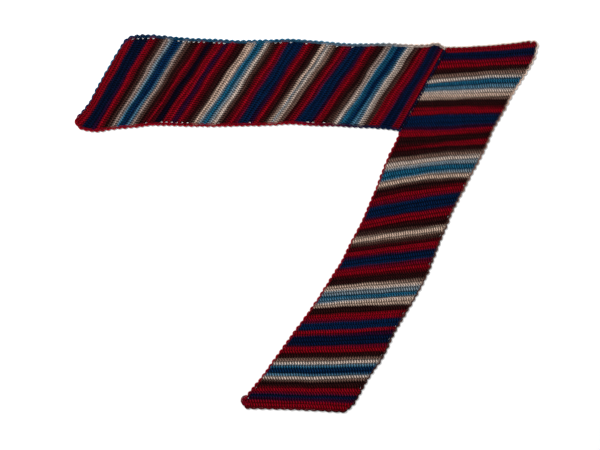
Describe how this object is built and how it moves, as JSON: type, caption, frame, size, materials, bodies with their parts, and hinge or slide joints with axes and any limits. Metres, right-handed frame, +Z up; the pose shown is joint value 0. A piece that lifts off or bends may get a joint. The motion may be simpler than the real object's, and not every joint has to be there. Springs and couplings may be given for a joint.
{
  "type": "shawl",
  "caption": "Crocheted, ribbed and striped shawl laid flat: two bias panels joined at a slanting seam, with a picot edging all round.",
  "frame": {"origin": "middle of the flat underside's box, on the surface that the shawl lies on", "axes": "+X along the shawl's longest extent, from the left panel's free end towards the right panel's upper corner; +Y up the sheet, from the right panel's foot to the upper edge; +Z up from the surface, through the cloth's thickness"},
  "size_m": [1.2084, 0.984, 0.0046],
  "materials": {
    "left_panel_yarn": "self-striping wool, matt, slightly hairy",
    "right_panel_yarn": "self-striping wool, matt, slightly hairy",
    "edging_yarn": "the same wool, shading from crimson through navy and grey-blue to beige and dark brown"
  },
  "bodies": {
    "root": {"panel_left": "left_panel_yarn", "panel_right": "right_panel_yarn", "edging_left_lower": "edging_yarn", "edging_left_end": "edging_yarn", "edging_left_upper": "edging_yarn", "edging_right_top": "edging_yarn", "edging_right_side": "edging_yarn", "edging_right_foot": "edging_yarn", "edging_right_inner": "edging_yarn"}
  },
  "joints": []
}
